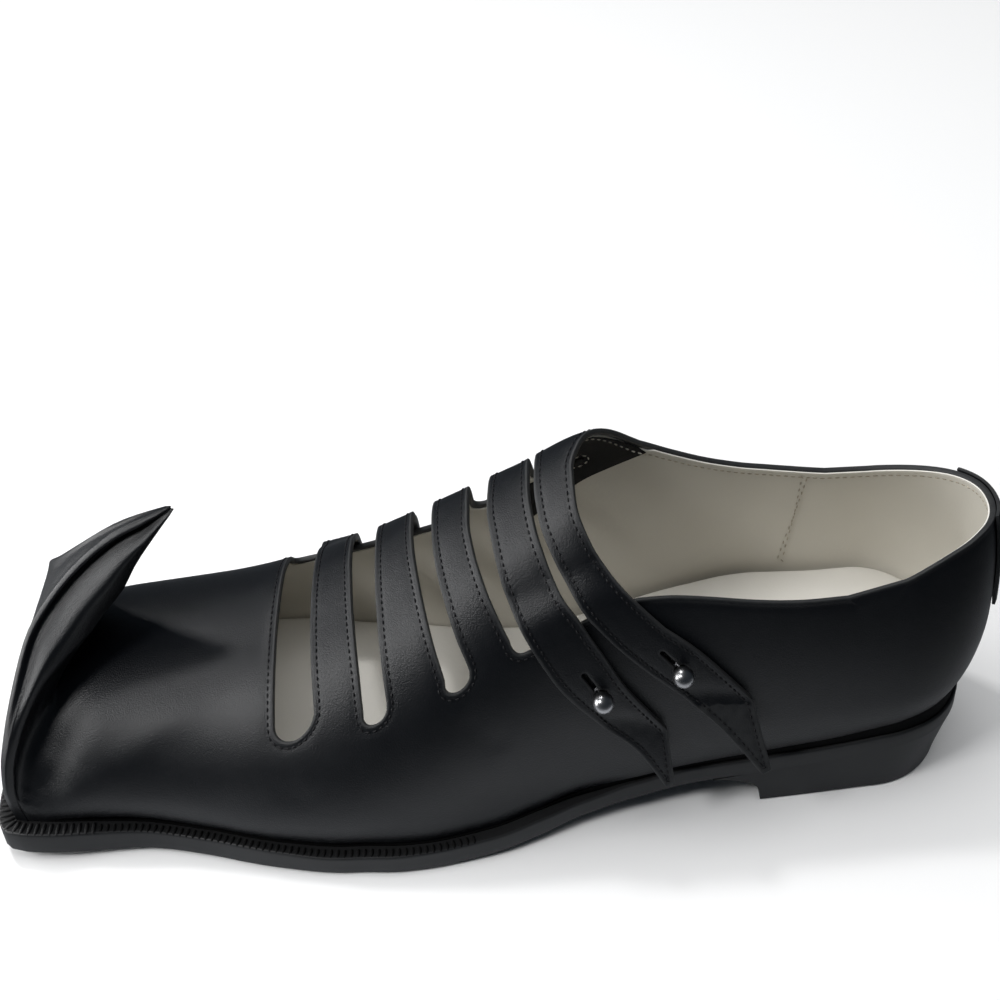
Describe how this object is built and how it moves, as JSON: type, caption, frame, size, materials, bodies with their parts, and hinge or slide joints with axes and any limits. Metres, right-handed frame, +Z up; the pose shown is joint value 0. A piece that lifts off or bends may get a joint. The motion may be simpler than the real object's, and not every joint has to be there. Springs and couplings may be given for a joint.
{
  "type": "poulaine shoe",
  "caption": "Square-toed leather shoe for the left foot with a turned-up pointed toe, cut-out instep straps buttoned on studs, and a low heel.",
  "frame": {"origin": "centre of the bounding box at floor level, under the middle of the shoe", "axes": "+Z up, -X towards the toe, +X towards the heel, -Y the lateral (outer) side, +Y the medial (inner) side"},
  "size_m": [0.29, 0.1014, 0.1056],
  "materials": {
    "upper_leather": "smooth black leather with a satin sheen and fine grain",
    "sole_leather": "black stained sole edge, satin",
    "heel_stack": "black stained stacked heel, satin",
    "insole_leather": "pale beige lining leather, matt",
    "stud_steel": "polished steel ball"
  },
  "bodies": {
    "root": {"upper": "upper_leather", "back_tab": "upper_leather", "outsole": "sole_leather", "midsole": "sole_leather", "heel": "heel_stack", "insole": "insole_leather", "stud_a": "stud_steel", "stud_b": "stud_steel", "stud_d": "stud_steel", "stud_e": "stud_steel"}
  },
  "joints": []
}
